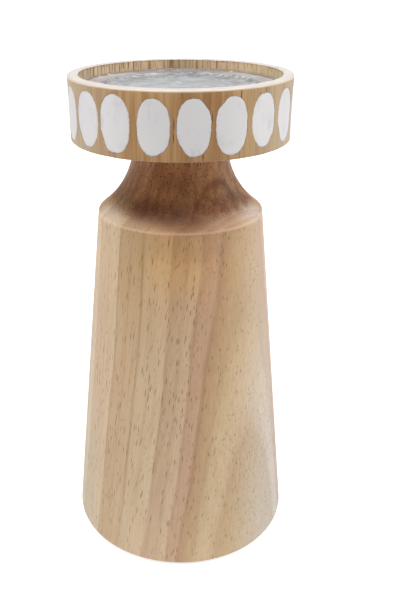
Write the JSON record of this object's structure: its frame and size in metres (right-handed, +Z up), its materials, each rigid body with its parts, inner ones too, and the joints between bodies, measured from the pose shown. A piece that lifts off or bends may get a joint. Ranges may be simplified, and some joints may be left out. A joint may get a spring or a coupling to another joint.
{
  "type": "wooden candlestick",
  "caption": "Turned wooden candlestick for one pillar candle: tapered column, coved neck and a shallow cup with white oval inlays round its band and a metal drip pan.",
  "frame": {"origin": "centre of the foot, on the surface that the candlestick stands on", "axes": "+Z up along the turned axis, -Y towards the front, +X to the right seen from the front"},
  "size_m": [0.1104, 0.1104, 0.2285],
  "materials": {
    "column_wood": "pale straight-grained timber, sanded and waxed",
    "cup_wood": "golden tan timber, sanded, with a clear matt seal",
    "inlay": "matt white cast resin, rubbed flush",
    "pan": "hammered, dull",
    "screw": "zinc plated",
    "felt": "dark brown felt"
  },
  "bodies": {
    "root": {"turned_column": "column_wood", "cup": "cup_wood", "drip_pan": "pan", "dowel_screw": "screw", "inlay_01": "inlay", "inlay_02": "inlay", "inlay_03": "inlay", "inlay_04": "inlay", "inlay_05": "inlay", "inlay_06": "inlay", "inlay_07": "inlay", "inlay_08": "inlay", "inlay_09": "inlay", "inlay_10": "inlay", "inlay_11": "inlay", "inlay_12": "inlay", "inlay_13": "inlay", "inlay_14": "inlay", "inlay_15": "inlay", "inlay_16": "inlay", "inlay_17": "inlay", "inlay_18": "inlay", "inlay_19": "inlay", "felt_pad_1": "felt", "felt_pad_2": "felt", "felt_pad_3": "felt", "felt_pad_4": "felt"}
  },
  "joints": []
}
